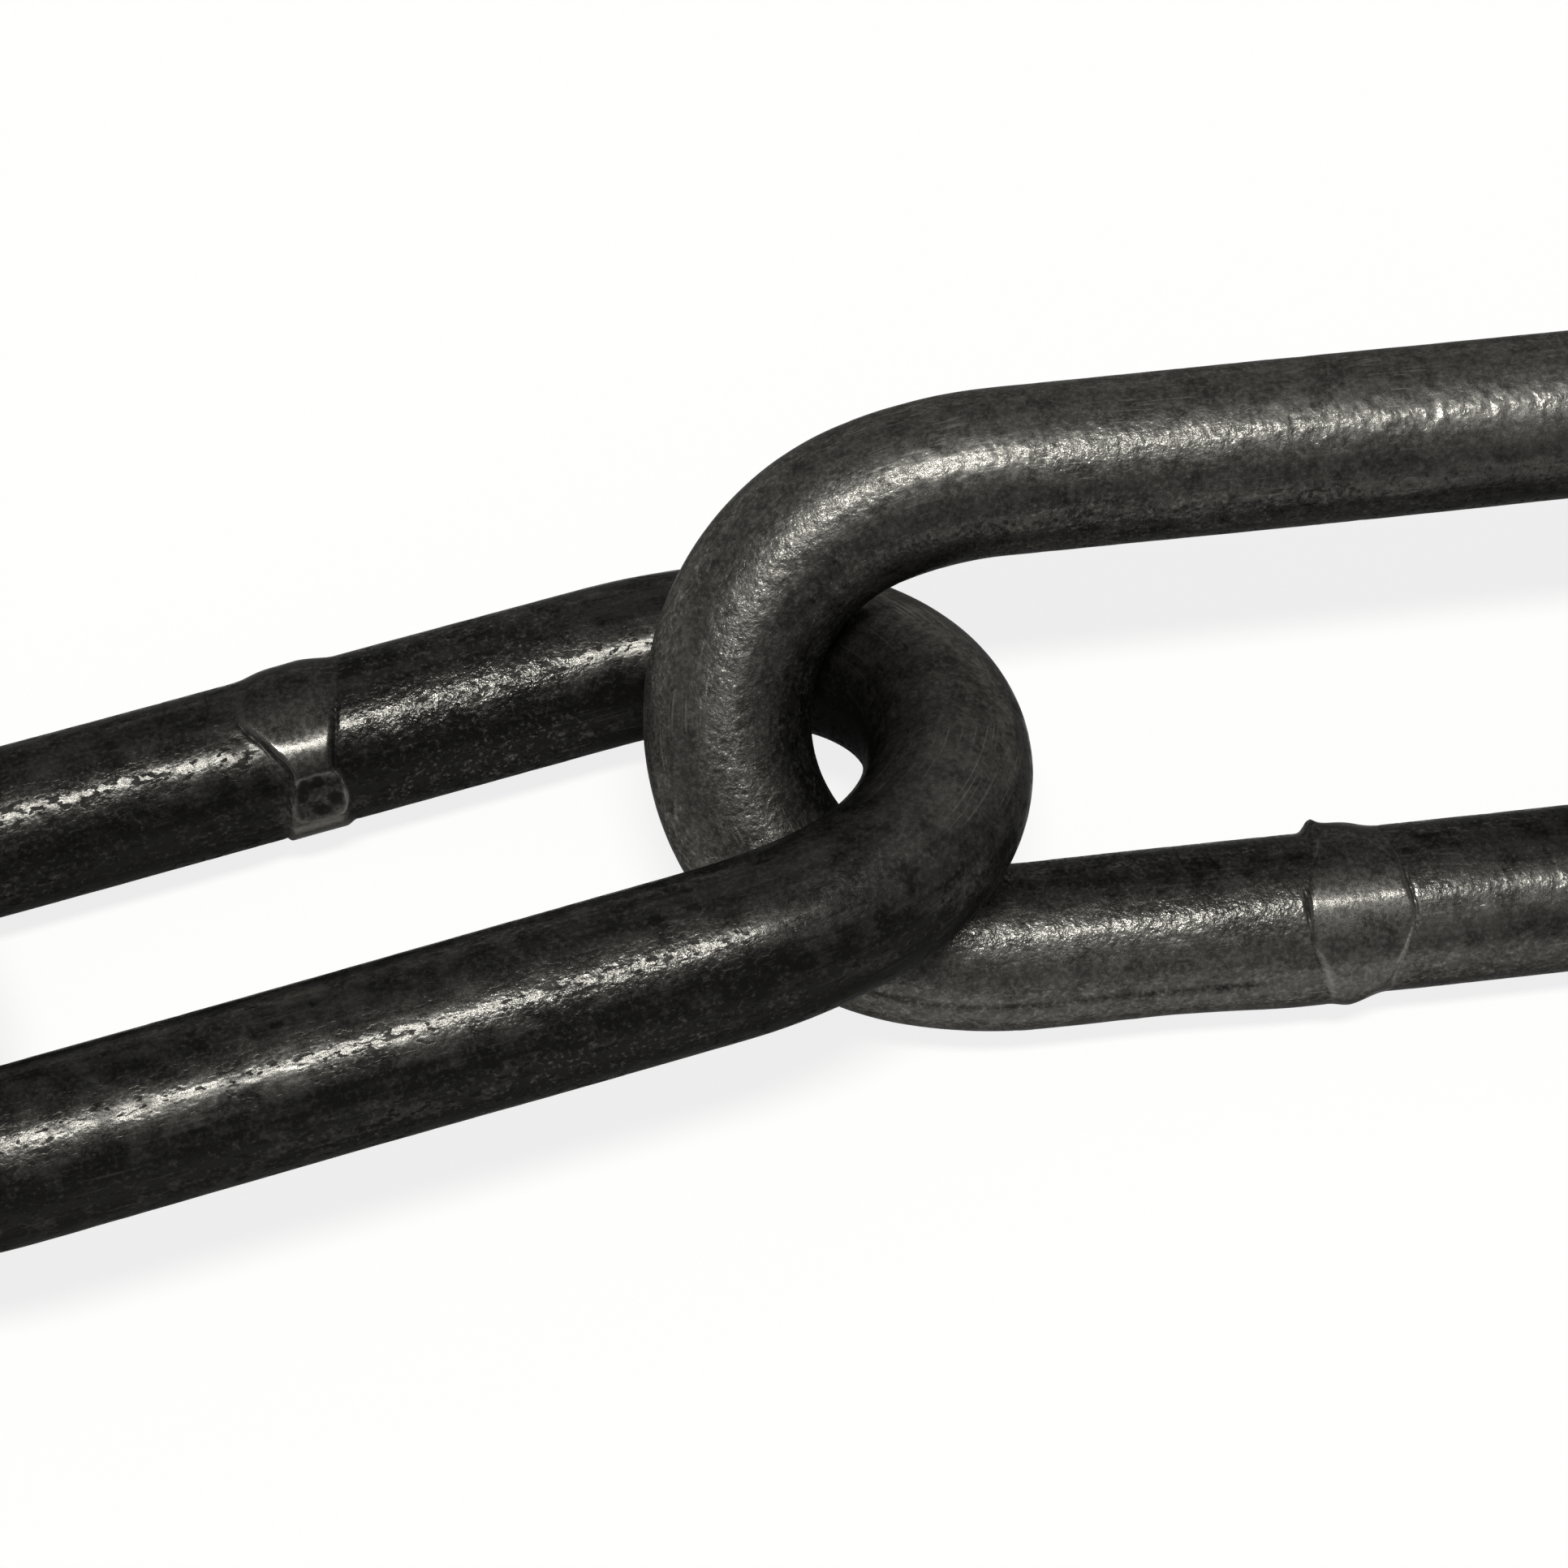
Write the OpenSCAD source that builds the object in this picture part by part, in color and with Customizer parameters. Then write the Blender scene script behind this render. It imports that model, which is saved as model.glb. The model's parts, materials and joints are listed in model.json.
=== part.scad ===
// A length of long link chain, lying on a flat surface in a loose curve.
// Each link is one round bar, bent to an oval eye and butt welded in the middle of one leg.
// The links lean in turn to either side, as a chain does when it is laid down.
// Sizes are in millimetres, angles in degrees.

/* [Link] */
// Diameter of the round bar
bar_d = 13; // [10:0.5:14]
// Clear length inside a link, which is the pitch of the chain
inner_l = 85; // [78:1:100]
// Distance between the centrelines of a link's two legs
leg_gap = 37; // [36:0.5:40]
// How much larger the radius of the crown's flanks is than the radius of its nose
flank_more = 17.5; // [5:2.5:25]

/* [Weld] */
// How far a weld is off the middle of its leg
weld_off = 1.9; // [0:0.1:3]
// Length of the upset ring along the leg
weld_l = 8; // [6:0.5:10]
// Height of the upset ring above the bar
weld_h = 0.5; // [0.3:0.1:0.6]
// Depth left standing where the flash was sheared off, above the bar
scar_h = 0.15; // [0.1:0.05:0.25]
// Height of the tallest rag of flash left at one edge of a weld, above the bar
flash_h = 1.3; // [0.8:0.1:1.6]
// How far the rag of flash runs round the bar
flash_sweep = 36; // [20:2:36]

/* [Lay] */
// How far the crowns of two links lap, from apex to apex
lap = 16.2; // [16.2:0.1:17.4]
// How far the lapped crowns stand off the chain's line
slip = 1.7; // [1:0.1:2]
// Mean turn of the chain's line from one link to the next
bend_mean = 11.6; // [10.4:0.1:11.8]
// How much the turn eases off at the middle and at the ends
bend_ease = 1.2; // [0:0.1:1.4]
// Lean of a link's plane where the chain runs straight
lean_mean = 29.05; // [29:0.05:30]

/* [Hidden] */
links = 21;
// The middle link, which the lay is worked out from
middle = 11;
// A link leans more on the outside of a curve and less on the inside, by this much a degree of bend
lean_per_bend = 0.172;
// The turn of the line eases off and on again over this many links
ease_links = 10;

// Turn of the rag and of the sheared flat on the leg, the mean of all links and how far the links of
// either lean are from it; and how far any link is askew in its weld
rag_mean = 61;
rag_apart = 17;
cut_mean = 110.5;
cut_apart = 17.5;
askew = 6;
// Height of a rag that was knocked down, as a share of the tallest
low_rag = 0.6;

bar_r = bar_d / 2;
// From the middle of a link to the centreline at its apex
half_l = (inner_l + bar_d) / 2;
// Direction from the nose's centre to where nose and flank run into each other: a 7-24-25 triangle
blend = [0.28, 0.96];
// Radii of nose and flank to the centre of the bar, such that nose, flank and leg share their tangents
nose_r = leg_gap / 2 - (1 - blend.y) * flank_more;
flank_r = nose_r + flank_more;
// From the middle of a link to the centre of its nose arc
nose_x = half_l - nose_r;
// Half the length of a leg
leg_x = nose_x - blend.x * flank_more;

// Names link_01 to link_21, from left to right
function node_name(i) = str("link_", i < 10 ? "0" : "", i);

// Links lean in turn: on an even link the leg on the near side, -Y at the middle, is the raised one
function side(i) = i % 2 == 0 ? 1 : -1;
function unit(a) = [cos(a), sin(a)];
function cross2(a, b) = a.x * b.y - a.y * b.x;

// Turn of the line between link j and link j + 1, to the right
function bend(j) = bend_mean - bend_ease * cos(360 * j / ease_links);
// Direction of link i along the chain; the middle link lies along X
function heading(i) =
    i == middle ? 0 : i > middle ? heading(i - 1) - bend(i - 1) : heading(i + 1) + bend(i);
// Mean turn on both sides of link i; an end link has a neighbour on one side alone
function turn_at(i) = (bend(max(i - 1, 1)) + bend(min(i, links - 1))) / 2;
function lean(i) = lean_mean - side(i) * lean_per_bend * turn_at(i);

// From the far apex of link i to the near apex of link i + 1
function lap_step(i) =
    let (a = (heading(i) + heading(i + 1)) / 2)
    -lap * unit(a) + side(i) * slip * unit(a + 90);
// From the middle of link i to the middle of link i + 1
function link_step(i) = half_l * unit(heading(i)) + lap_step(i) + half_l * unit(heading(i + 1));
// Middle of link i, seen from above, counted from the middle link
function spot(i) =
    i == middle ? [0, 0] : i > middle ? spot(i - 1) + link_step(i - 1) : spot(i + 1) - link_step(i);

// How far link i reaches from its own middle in direction a, seen from above
function reach(i, a) =
    let (
        along = abs(unit(heading(i)) * unit(a)),
        across = abs(cross2(unit(heading(i)), unit(a))) * cos(lean(i)),
        at_nose = nose_x * along + nose_r * norm([along, across]),
        at_leg = leg_x * along + leg_gap / 2 * across
    )
    max(at_nose, at_leg) + bar_r;
function far_edge(a) = max([for (i = [1:links]) spot(i) * unit(a) + reach(i, a)]);
// The origin is on the surface below the middle of the chain's footprint
foot = [(far_edge(0) - far_edge(180)) / 2, (far_edge(90) - far_edge(270)) / 2];
// Height of a link's middle: its lower leg rests on the ring of its weld
function height(i) = bar_r + weld_h + leg_gap / 2 * sin(lean(i));

// Where round its leg a link's rag and its sheared flat are, from straight up towards the eye
function rag_turn(i) = rag_mean - rag_apart * side(i) + askew * sin(97 * i);
function cut_turn(i) = cut_mean - cut_apart * side(i) + askew * sin(61 * i);
// Height of a link's rag: on the links where it stands nearer to the top it was knocked down in use
function rag_h(i) = flash_h * (side(i) > 0 ? low_rag : 1);

// A whole ring of the bar, radius r to its centreline, kept where it is inside an outline around its centre
module bar_arc(r, outline) {
    intersection() {
        rotate_extrude($fn = 150)
            translate([r, 0])
                circle(r = bar_r, $fn = 40);
        translate([0, 0, -bar_d])
            linear_extrude(2 * bar_d)
                polygon(2 * flank_r * outline);
    }
}

// The crown at the +X end: a round nose between two flatter flanks
module crown() {
    translate([nose_x, 0, 0])
        bar_arc(nose_r, [[0, 0], [blend.x, -blend.y], [2, -2], [2, 2], blend]);
    for (s = [0, 1])
        mirror([0, s, 0])
            translate([leg_x, leg_gap / 2 - flank_r, 0])
                bar_arc(flank_r, [[0, 0], blend, [0.5, 2], [0, 2]]);
}

// A leg of plain bar along X
module plain_leg() {
    rotate([0, 90, 0])
        cylinder(r = bar_r, h = 2 * leg_x, center = true, $fn = 40);
}

// A leg with the weld's upset ring, at x along it: a sharp shoulder on one side, a soft one on the other
module welded_leg(x) {
    sharp = 0.5;
    soft = 1.8;
    rotate([0, 90, 0])
        rotate_extrude($fn = 40)
            polygon([
                [0, -leg_x],
                [bar_r, -leg_x],
                [bar_r, x - weld_l / 2],
                [bar_r + weld_h * 0.8, x - weld_l / 2 + sharp],
                [bar_r + weld_h, x],
                [bar_r + weld_h * 0.8, x + weld_l / 2 - soft],
                [bar_r, x + weld_l / 2],
                [bar_r, leg_x],
                [0, leg_x]
            ]);
}

// The rag of flash at the ring's sharp edge, h above the bar, on the upper side of the bar
module flash_rag(h) {
    root = 0.4;
    rotate([0, 90, 0])
        rotate([0, 0, 180 - flash_sweep / 2])
            rotate_extrude(angle = flash_sweep, $fn = 90)
                polygon([
                    [bar_r - root, -weld_l / 2 - 0.2],
                    [bar_r + h * 0.7, -weld_l / 2 + 0.1],
                    [bar_r + h, -weld_l / 2 + 0.7],
                    [bar_r + weld_h, -weld_l / 2 + 1.7],
                    [bar_r - root, -weld_l / 2 + 2]
                ]);
}

// The flat that the trimming shear leaves across the ring, facing +Z
module shear_cut() {
    translate([-weld_l / 2 - 1, -bar_r, bar_r + scar_h])
        cube([weld_l + 2, bar_d, bar_r]);
}

// One link about its own middle, in the XY plane. s: the side, +1 or -1, of the leg that is welded, and the
// way along it that the weld is off its middle. h, rag, cut: the rag's height, and where round the leg the
// rag and the sheared flat are
module link_shape(s, h, rag, cut) {
    weld_x = s * weld_off;
    crown();
    mirror([1, 0, 0])
        crown();
    translate([0, -s * leg_gap / 2, 0])
        plain_leg();
    translate([0, s * leg_gap / 2, 0]) {
        difference() {
            welded_leg(weld_x);
            translate([weld_x, 0, 0])
                rotate([s * cut, 0, 0])
                    shear_cut();
        }
        translate([weld_x, 0, 0])
            rotate([s * rag, 0, 0])
                flash_rag(h);
    }
}

// Link i where it lies in the chain
module link(i) {
    color([0.23, 0.225, 0.215])
        translate([spot(i).x - foot.x, spot(i).y - foot.y, height(i)])
            rotate([0, 0, heading(i)])
                rotate([-side(i) * lean(i), 0, 0])
                    link_shape(side(i), rag_h(i), rag_turn(i), cut_turn(i));
}

for (i = [1:links])
    link(i);
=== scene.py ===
import json
import math

import bpy
import numpy as np
from mathutils import Matrix

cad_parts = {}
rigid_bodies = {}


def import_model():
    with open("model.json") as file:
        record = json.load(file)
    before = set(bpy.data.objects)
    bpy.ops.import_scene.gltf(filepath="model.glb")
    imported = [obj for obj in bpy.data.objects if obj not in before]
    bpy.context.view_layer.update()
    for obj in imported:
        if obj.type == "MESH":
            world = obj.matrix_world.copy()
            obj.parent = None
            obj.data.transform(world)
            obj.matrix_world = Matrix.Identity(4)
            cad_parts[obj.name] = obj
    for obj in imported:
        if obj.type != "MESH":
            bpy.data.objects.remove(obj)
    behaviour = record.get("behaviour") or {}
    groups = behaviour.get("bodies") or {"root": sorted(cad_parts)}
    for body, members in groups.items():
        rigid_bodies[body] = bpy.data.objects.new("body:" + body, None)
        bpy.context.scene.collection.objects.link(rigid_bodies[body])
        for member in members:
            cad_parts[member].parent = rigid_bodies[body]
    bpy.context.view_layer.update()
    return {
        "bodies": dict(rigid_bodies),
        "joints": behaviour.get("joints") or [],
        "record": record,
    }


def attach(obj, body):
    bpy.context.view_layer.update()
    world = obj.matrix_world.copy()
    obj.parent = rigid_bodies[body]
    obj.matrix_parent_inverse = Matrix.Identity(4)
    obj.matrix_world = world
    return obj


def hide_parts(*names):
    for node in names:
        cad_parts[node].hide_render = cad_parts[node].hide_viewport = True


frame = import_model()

# The looks of a length of long link chain: every link is a worn, mill-scaled bar with its own butt weld
mm = 0.001


# Camera: at the photo's angle, over the place where the two links that the photo shows meet

photoView = {
    "joint": "swing_10",    # the crowns seen meet near this joint
    "aimX": -12.72,         # mm from that joint to the point aimed at, along the middle link
    "aimY": 3.16,           # mm, across it
    "distance": 332.05,     # mm
    "elevation": 65.84,     # degrees above the horizon
    "heading": 80.43,       # degrees, direction of view seen from above
    "roll": -2.73,          # degrees
    "lens": 93.94,          # mm
    "sensor": 36.0,         # mm, the sensor's width
    "clip": (0.01, 100.0),  # m, the nearest and the farthest that it sees
}


# Where a joint is, in m
def jointPlace(name):
    return next(joint["pos_m"] for joint in frame["joints"] if joint["name"] == name)


# The camera's three axes: forward from heading and elevation, right level and square to it, and both of
# right and up turned about forward by the roll
def addCamera(v):
    el, heading, roll = (math.radians(v[k]) for k in ("elevation", "heading", "roll"))
    forward = np.array([math.cos(el) * math.cos(heading), math.cos(el) * math.sin(heading), -math.sin(el)])
    level = np.array([math.sin(heading), -math.cos(heading), 0.0])
    up = np.cross(level, forward)
    right = math.cos(roll) * level - math.sin(roll) * up
    up = math.sin(roll) * level + math.cos(roll) * up
    x, y, _ = jointPlace(v["joint"])
    aim = np.array([x + v["aimX"] * mm, y + v["aimY"] * mm, 0.0])
    data = bpy.data.cameras.new("photoCamera")
    data.lens, data.sensor_width = v["lens"], v["sensor"]
    data.clip_start, data.clip_end = v["clip"]
    camera = bpy.data.objects.new("photoCamera", data)
    bpy.context.scene.collection.objects.link(camera)
    columns = np.stack([right, up, -forward, aim - v["distance"] * mm * forward], 1)
    camera.matrix_world = Matrix(np.vstack([columns, [0, 0, 0, 1]]).tolist())
    bpy.context.scene.camera = camera


addCamera(photoView)
print("camera placed")


# Shader maths

class Wire:
    # One socket of a node tree, so that maths on sockets is written as an expression
    def __init__(self, tree, socket):
        self.tree, self.socket = tree, socket

    def math(self, operation, *others, clamp=False):
        return node(self.tree, "ShaderNodeMath", {"operation": operation, "use_clamp": clamp}, self, *others)

    def __add__(self, other):
        return self.math("ADD", other)

    def __sub__(self, other):
        return self.math("SUBTRACT", other)

    def __rsub__(self, other):
        return node(self.tree, "ShaderNodeMath", {"operation": "SUBTRACT"}, other, self)

    def __mul__(self, other):
        return self.math("MULTIPLY", other)

    __radd__ = __add__
    __rmul__ = __mul__

    # 0 below low, 1 above high and a smooth step between
    def step(self, low, high):
        return node(self.tree, "ShaderNodeMapRange", {"interpolation_type": "SMOOTHSTEP"},
                    Value=self, **{"From Min": low, "From Max": high})

    def clamp(self):
        return self.math("ADD", 0.0, clamp=True)


# Any node: its settings are set first, then the values or links of its sockets, in order or by name;
# "out" among the settings names the socket that comes back
def node(tree, kind, settings=None, *inputs, **named):
    made = tree.nodes.new(kind)
    settings = dict(settings or {})
    out = settings.pop("out", 0)
    for key, value in settings.items():
        setattr(made, key, value)
    for key, value in [*enumerate(inputs), *named.items()]:
        socket = made.inputs[key]
        if isinstance(value, Wire):
            tree.links.new(value.socket, socket)
        else:
            socket.default_value = value
    return Wire(tree, made.outputs[out]) if made.outputs else made


# A mix of two colours by a factor; a colour is a tuple or a wire. A Mix node has sockets for every kind of
# value, and those of its colours are the ones numbered here.
def mixColour(tree, factor, first, second):
    made = tree.nodes.new("ShaderNodeMix")
    made.data_type = "RGBA"
    for number, value in ((0, factor), (6, first), (7, second)):
        if isinstance(value, Wire):
            tree.links.new(value.socket, made.inputs[number])
        else:
            made.inputs[number].default_value = (*value, 1.0)
    return Wire(tree, made.outputs[2])


def newMaterial(name):
    material = bpy.data.materials.new(name)
    material.use_nodes = True
    material.node_tree.nodes.clear()
    return material, material.node_tree


# Steel: dark mill scale, mottled, with pits, short cracks, scratches and draw lines, pebbled in places, and
# worn bright in specks and where it is rubbed

steelLook = {
    "scaleDark": (0.0180, 0.0179, 0.0170),  # the darkest scale
    "scalePale": (0.134, 0.132, 0.123),     # where the scale is thin
    "worn": (0.45, 0.44, 0.41),             # bare metal
    "metallic": 0.82,
    "scaleGloss": 0.15,     # specular level of the part that is no metal
    "rimTint": 0.12,        # of the metal, where it is seen edge on
    "roughSmooth": 0.15,
    "roughDull": 0.60,
    "wear": 0.13,           # patches of more and less wear a mm
    "mottle": 0.42,         # patches of tone a mm
    "plate": 0.55,          # plates of scale a mm
    "dent": 0.8,            # dents a mm
    "lump": 0.9,            # lumps a mm, where the bar is pebbled
    "pit": 1.9,             # pits a mm
    "speck": 2.6,           # specks a mm
    "line": 1.5,            # draw lines a mm, across the bar
    "scratch": 5.5,         # scratches a mm, across the bar
    "drawn": 0.05,          # lines and scratches a mm along the bar, as a share of those across it
    "fine": 24.0,           # dull grains a mm, too fine to be seen one by one
    "bumpDepth": 0.05,      # mm
}


# Even patterns read the place in the object, in mm. Patterns with a grain read the bar's own coordinates,
# which follow it round its bends: along it, and the two directions across, in mm. Those have a seam in the
# middle of the weld, where the patterns with a grain fade out. The attributes say where the bar is welded,
# where it is darkened by dirt and by painted shade, rubbed, dull and pebbled.
def steelMaterial(v):
    material, tree = newMaterial("darkSteel")

    def attribute(name, out="Fac"):
        return node(tree, "ShaderNodeAttribute", {"attribute_name": name, "out": out})

    def cloud(vector, scale, detail=2.0, rough=0.55):
        return node(tree, "ShaderNodeTexNoise", {"out": "Fac"}, Vector=vector, Scale=scale, Detail=detail,
                    Roughness=rough)

    weld, dirtAndShade, rubbed, dull, pebbled = (
        attribute(name) for name in ("weldBand", "dirtAndShade", "rubbed", "dull", "pebbled"))
    place = node(tree, "ShaderNodeTexCoord", {"out": "Object"})
    here = node(tree, "ShaderNodeVectorMath", {"operation": "SCALE"}, place, Scale=1 / mm)
    bar = attribute("barSpace", "Vector")
    drawn = node(tree, "ShaderNodeVectorMath", {"operation": "MULTIPLY"}, bar, (v["drawn"], 1.0, 1.0))

    mottle = cloud(here, v["mottle"], 3.0, 0.58).step(0.34, 0.66)
    speck = cloud(here, v["speck"], 2.0, 0.65)
    lump = cloud(here, v["lump"], 3.0, 0.6)
    wear = cloud(here, v["wear"])
    lines = cloud(drawn, v["line"], 2.0, 0.6)
    plate = cloud(bar, v["plate"], 3.0, 0.62)

    # Cracks follow the edges between plates, in the patches of more wear, and scratches lie in those of
    # less. Pits are the peaks of a fine cloud.
    grained = 1 - weld
    flake = plate.step(0.44, 0.56) * grained
    crack = 1 - (plate - 0.5).math("ABSOLUTE").step(0.006, 0.034)
    crack = crack * wear.step(0.50, 0.58) * (dull * 0.7 + 0.3) * grained
    pit = cloud(bar, v["pit"], 2.0, 0.6) + wear * 0.4 - 0.2
    pit = pit.step(0.56, 0.64) * grained * (1 - dull * 0.9)
    scratch = cloud(drawn, v["scratch"], 0.0).step(0.67, 0.73) * wear.step(0.50, 0.38)
    bareSpeck = speck.step(0.56, 0.76) * (wear.step(0.42, 0.62) * 0.6 + 0.4)
    paleSpeck = speck.step(0.38, 0.62)
    lumpTop = lump.step(0.38, 0.62)
    glint = speck.step(0.50, 0.66) * lumpTop * pebbled

    # From the darkest scale to the palest, and from scale to bare metal. The dirt and shade attribute darkens
    # the scale: dirt in cracks, pits and flats, painted shade in the weld grooves, the seats and link 10's
    # near sides.
    tone = (mottle * 0.22 + flake * 0.05 + weld * 0.08 - 0.01
            + paleSpeck * (weld * 0.14 + dull * 0.24 + 0.08)
            + (lines.step(0.36, 0.64) * 0.12 - 0.07) * grained
            + dull * (lumpTop * 0.26 + 0.37)
            - crack * 0.10 - dirtAndShade * 0.6 - pit * 0.16).clamp()
    bare = (bareSpeck * (dull * 0.10 + 0.06) + scratch * (dull * 0.24 + 0.02) * grained
            + rubbed * 0.30 + glint * 0.14).clamp()
    colour = mixColour(tree, tone, v["scaleDark"], v["scalePale"])
    colour = mixColour(tree, bare, colour, v["worn"])

    # From smooth to dull
    grain = (cloud(here, v["fine"], 0.0) + dull * 0.18 - 0.09).step(0.44, 0.56)
    uneven = (grain * 0.66 + speck.step(0.40, 0.60) * 0.10 + mottle * 0.14 + (dirtAndShade + pit) * 0.8
              + weld * (0.03 - dull * 0.18) - glint * 0.35 - rubbed * 0.5)
    rough = (uneven * (v["roughDull"] - v["roughSmooth"]) + v["roughSmooth"]).clamp()

    # Height, in bump depths
    dents = cloud(bar, v["dent"], 1.0, 0.4) * (dull * 2.2 + 0.5) + plate * 0.8 + flake * 0.15 + lines * 0.15
    height = (speck * (pebbled * 1.2 + 0.16) + lump * pebbled * 2.6
              + (dents * (1 - pebbled * 0.7) - crack * 0.10 - pit * 0.22) * grained)
    bump = node(tree, "ShaderNodeBump", None, Strength=1.0, Distance=v["bumpDepth"] * mm, Height=height)
    rim = (v["rimTint"], v["rimTint"], v["rimTint"], 1.0)
    shader = node(tree, "ShaderNodeBsdfPrincipled", None, Roughness=rough, Metallic=v["metallic"],
                  **{"Base Color": colour, "Specular IOR Level": v["scaleGloss"], "Specular Tint": rim,
                     "Normal": bump})
    node(tree, "ShaderNodeOutputMaterial", None, shader)
    return material


darkSteel = steelMaterial(steelLook)
print("steel made")


# Where the links lie, and the line of a link. The places come from the joints and the two end mounts, which
# sit at the centres of the crowns' noses and carry the normals of the links' planes.

linkForm = {
    "root": 11,             # number of the link that the joints branch from
    "endMounts": {"start_eye": 1, "end_eye": 21},   # and of the link that each end mount is on
    "bar": 13.0,            # mm, diameter of the bar
    "legGap": 37.0,         # mm, between the centrelines of the legs
    "flankMore": 17.5,      # mm, flank radius less nose radius
    "blendCos": 0.96,       # cosine of the flank's turn, up to where it runs into the nose
}


def linkName(number):
    return "link_%02d" % number


# For each link, the centre and the axis of each nose that has a joint or an end mount
heldNoses = {}
for joint in frame["joints"]:
    heldNoses.setdefault(joint["parent"], []).append((joint["pos_m"], joint["axis"]))
for mount in frame["record"]["mounts"]:
    holder = linkName(linkForm["endMounts"][mount["name"]])
    heldNoses.setdefault(holder, []).append((mount["pos_m"], mount["axis"]))
rootNoses = [np.array(place) for place, axis in heldNoses[linkName(linkForm["root"])]]

barRadius = linkForm["bar"] / 2
flankTurn = math.acos(linkForm["blendCos"])
noseRadius = linkForm["legGap"] / 2 - (1 - linkForm["blendCos"]) * linkForm["flankMore"]
flankRadius = noseRadius + linkForm["flankMore"]
noseX = np.linalg.norm(rootNoses[0] - rootNoses[1]) / mm / 2
legX = noseX - math.sin(flankTurn) * linkForm["flankMore"]


# A link's middle, direction along the chain and normal. The direction is level and square to the normal and
# points towards the chain's end. The middle is back along it from the nose farther from the root, and the
# joint that the link hangs on is near its other nose. The root has joints at both noses.
def linkPlace(number):
    noses = heldNoses[linkName(number)]
    normal = np.array(noses[-1][1], float)
    normal *= math.copysign(1, normal[2])
    along = np.cross(normal, [0, 0, 1])
    along /= np.linalg.norm(along)
    if number == linkForm["root"]:
        inner, nose = (np.array(place) for place in sorted(place for place, axis in noses))
    else:
        nose = np.array(noses[-1][0])
        hinge = next(joint for joint in frame["joints"] if joint["child"] == linkName(number))
        inner = np.array(hinge["pos_m"])
    outward = -1 if number < linkForm["root"] else 1
    along *= math.copysign(1, (nose - inner) @ along) * outward
    return nose - outward * noseX * mm * along, along, normal


# The centreline of a link in its own plane, from the weld round to the weld: runs of constant curvature,
# each starting where and as the last one ended. A run's chord is its length times sin(h) / h at its mean
# direction, with h half its turn. The distances crowd together at the weld: a share of each round minus
# crowding / 2 pi times the sine of that share of a turn. Gives places, outward directions, distances and
# the whole length.
def linkCentreline(count, crowding):
    flank = (flankRadius * flankTurn, 1 / flankRadius)
    nose = (noseRadius * (math.pi - 2 * flankTurn), 1 / noseRadius)
    runs = [(legX, 0.0), flank, nose, flank, (2 * legX, 0.0), flank, nose, flank, (legX, 0.0)]
    lengths, bends = np.array(runs).T

    def chord(start, length, bend):
        half = bend * length / 2
        heading = start - half
        return (length * np.sinc(half / np.pi))[..., None] * np.stack([np.cos(heading), np.sin(heading)], -1)

    ends = np.cumsum(lengths)
    begins = ends - lengths
    headings = -np.concatenate([[0.0], np.cumsum(lengths * bends)[:-1]])
    corners = np.array([0.0, linkForm["legGap"] / 2]) + np.concatenate(
        [np.zeros((1, 2)), np.cumsum(chord(headings, lengths, bends), 0)[:-1]])
    share = np.arange(count) / count
    distance = ends[-1] * (share - crowding / (2 * math.pi) * np.sin(2 * math.pi * share))
    run = np.searchsorted(ends, distance, side="right")
    travelled = distance - begins[run]
    places = corners[run] + chord(headings[run], travelled, bends[run])
    heading = headings[run] - travelled * bends[run]
    return places, np.stack([-np.sin(heading), np.cos(heading)], -1), distance, ends[-1]


# Smooth step from 0 to 1 as x goes from 0 to 1
def rise(x):
    x = np.clip(x, 0, 1)
    return x * x * (3 - 2 * x)


# A value round the bar, given at a few turns in degrees: straight between them, then smoothed by damping
# the waves of its Fourier series that are shorter than the softness
def roundBar(turn, pairs, softness=5.0):
    turns, values = np.array(pairs, float).T
    curve = np.interp(np.degrees(turn), turns, values, period=360)
    waves = np.fft.rfft(curve)
    waves *= np.exp(-0.5 * (np.arange(len(waves)) * math.radians(softness)) ** 2)
    return np.fft.irfft(waves, len(curve))


# Random relief on the closed grid: white noise on even rows with its short waves damped by a bell curve, so
# that what is left has about the given sizes along and round the bar, in mm, and a spread of 1; then read
# at the grid's own rows, straight between two even ones
def roughness(grid, sizeAlong, sizeRound):
    count, around = grid["shape"]
    white = np.fft.fft2(grid["rng"].standard_normal((count, around)))
    kAlong = np.fft.fftfreq(count, grid["length"] / count)[:, None] * sizeAlong
    kRound = np.fft.fftfreq(around, 2 * math.pi * barRadius / around)[None] * sizeRound
    field = np.fft.ifft2(white * np.exp(-2 * math.pi ** 2 * (kAlong ** 2 + kRound ** 2))).real
    row = grid["distance"] / grid["length"] * count
    low = row.astype(int)
    share = (row - low)[:, None]
    return (field[low] * (1 - share) + field[(low + 1) % count] * share) / field.std()


# Random patches, between 0 and 1: a smooth step of the level plus the contrast times the roughness
def patchwork(grid, level, contrast, sizeAlong, sizeRound):
    return rise(level + contrast * roughness(grid, sizeAlong, sizeRound))


# Heights and depths are in mm. Two numbers are a form's sizes along and round the bar in mm, and four are
# the level, the contrast and the sizes of a patchwork.
scaleRelief = {
    "swell": 0.025,         # slow unevenness of the bar
    "swellSize": (9.0, 7.0),
    "plate": 0.008,         # edges of the scale's plates
    "plates": (0.5, 2.2, 0.9, 1.2),
    "pebble": 0.003,        # fine unevenness
    "pebbleSize": (0.5, 0.5),
    "crack": 0.02,          # cracks across the bar
    "crackSize": (0.7, 1.8),
    "crackWidth": 0.12,     # how near to zero the cracks' field is in a crack
    "cracked": (0.15, 0.9, 5.0, 3.0),
    "pit": 0.05,
    "pits": (-3.2, 1.6, 0.4, 0.4),
    "pitted": (0.3, 1.0, 4.0, 4.0),
    "line": 0.004,          # draw lines along the bar
    "lineSize": (14.0, 0.45),
    "crackDirt": 0.3,       # how much dirt cracks and pits hold
    "pitDirt": 0.25,
}


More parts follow.
